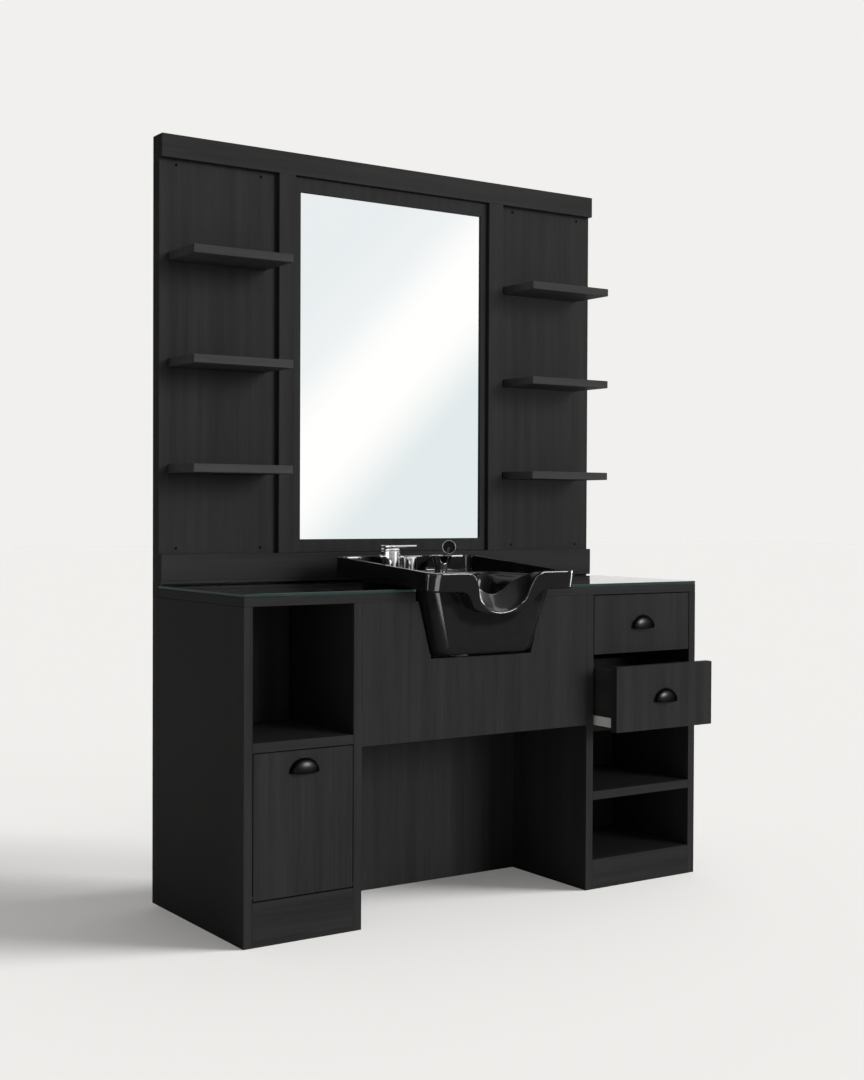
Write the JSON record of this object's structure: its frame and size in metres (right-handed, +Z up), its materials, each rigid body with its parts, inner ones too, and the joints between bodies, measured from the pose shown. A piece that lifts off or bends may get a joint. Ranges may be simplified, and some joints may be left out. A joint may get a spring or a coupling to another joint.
{
  "type": "salon station",
  "caption": "Black-stained salon station: shampoo bowl and tap in a glass-covered worktop, cabinets with drawers and a tilt-out hamper below, mirror wall with shelves above.",
  "frame": {"origin": "on the floor, under the middle of the whole object with its lower drawer as far open as at rest", "axes": "+Z up, front of the station faces -Y, +X to the right as seen from the front"},
  "size_m": [1.524, 0.678, 2.124],
  "materials": {
    "black_wood": "satin black stain",
    "drawer_lining": "matt black",
    "table_glass": "polished",
    "mirror": "silvered",
    "bowl": "gloss black",
    "chrome": "polished",
    "runner_steel": "zinc plated",
    "pull": "gloss black",
    "black_plastic": "satin",
    "waste_pipe": "matt"
  },
  "bodies": {
    "station": {"left_outer_side": "black_wood", "left_inner_side": "black_wood", "right_inner_side": "black_wood", "right_outer_side": "black_wood", "left_kick": "black_wood", "right_kick": "black_wood", "left_bottom": "black_wood", "right_bottom": "black_wood", "cubby_floor": "black_wood", "cabinet_shelf": "black_wood", "drawer_floor": "black_wood", "service_wall": "black_wood", "rear_access_panel": "black_wood", "apron": "black_wood", "worktop": "black_wood", "left_bay_panel": "black_wood", "right_bay_panel": "black_wood", "mirror_backer": "black_wood", "top_rail": "black_wood", "bottom_rail": "black_wood", "left_stile": "black_wood", "right_stile": "black_wood", "mirror_frame": "black_wood", "left_shelf_upper": "black_wood", "left_shelf_middle": "black_wood", "left_shelf_lower": "black_wood", "right_shelf_upper": "black_wood", "right_shelf_middle": "black_wood", "right_shelf_lower": "black_wood", "glass_top": "table_glass", "mirror_glass": "mirror", "bowl": "bowl", "drain_trap": "waste_pipe", "drain_strainer": "chrome", "mixer_body": "chrome", "hose_outlet": "chrome", "sprayer_holder": "chrome", "bowl_wedge": "drawer_lining", "hamper_pin_left": "runner_steel", "hamper_pin_right": "runner_steel", "top_drawer_channel_left": "runner_steel", "top_drawer_channel_right": "runner_steel", "lower_drawer_channel_left": "runner_steel", "lower_drawer_channel_right": "runner_steel"},
    "top_drawer": {"top_drawer_front": "black_wood", "top_drawer_box": "drawer_lining", "top_drawer_pull": "pull", "top_drawer_runner_left": "runner_steel", "top_drawer_runner_right": "runner_steel"},
    "lower_drawer": {"lower_drawer_front": "black_wood", "lower_drawer_box": "drawer_lining", "lower_drawer_pull": "pull", "lower_drawer_runner_left": "runner_steel", "lower_drawer_runner_right": "runner_steel"},
    "hamper": {"hamper_door": "black_wood", "hamper_pull": "pull", "hamper_bin": "black_plastic"},
    "mixer_cap": {"mixer_cap": "chrome"},
    "mixer_lever": {"mixer_lever": "chrome"},
    "sprayer": {"sprayer": "black_plastic"}
  },
  "joints": [
    {"name": "top_drawer_slide", "type": "slide", "parent": "station", "child": "top_drawer", "axis": [0, -1, 0], "range_m": [0, 0.28]},
    {"name": "lower_drawer_slide", "type": "slide", "parent": "station", "child": "lower_drawer", "axis": [0, -1, 0], "range_m": [-0.1, 0.18]},
    {"name": "hamper_tilt", "type": "hinge", "parent": "station", "child": "hamper", "pos_m": [-0.5905, -0.207, 0.125], "axis": [1, 0, 0], "range_deg": [0, 35]},
    {"name": "mixer_turn", "type": "hinge", "parent": "station", "child": "mixer_cap", "pos_m": [-0.1235, 0.113, 0.978], "axis": [0, 0, 1], "range_deg": [-45, 45]},
    {"name": "mixer_lift", "type": "hinge", "parent": "mixer_cap", "child": "mixer_lever", "pos_m": [-0.1515, 0.113, 0.9873], "axis": [0, -1, 0], "range_deg": [0, 20]},
    {"name": "sprayer_lift", "type": "slide", "parent": "station", "child": "sprayer", "axis": [0, 0, 1], "range_m": [0, 0.12]}
  ]
}
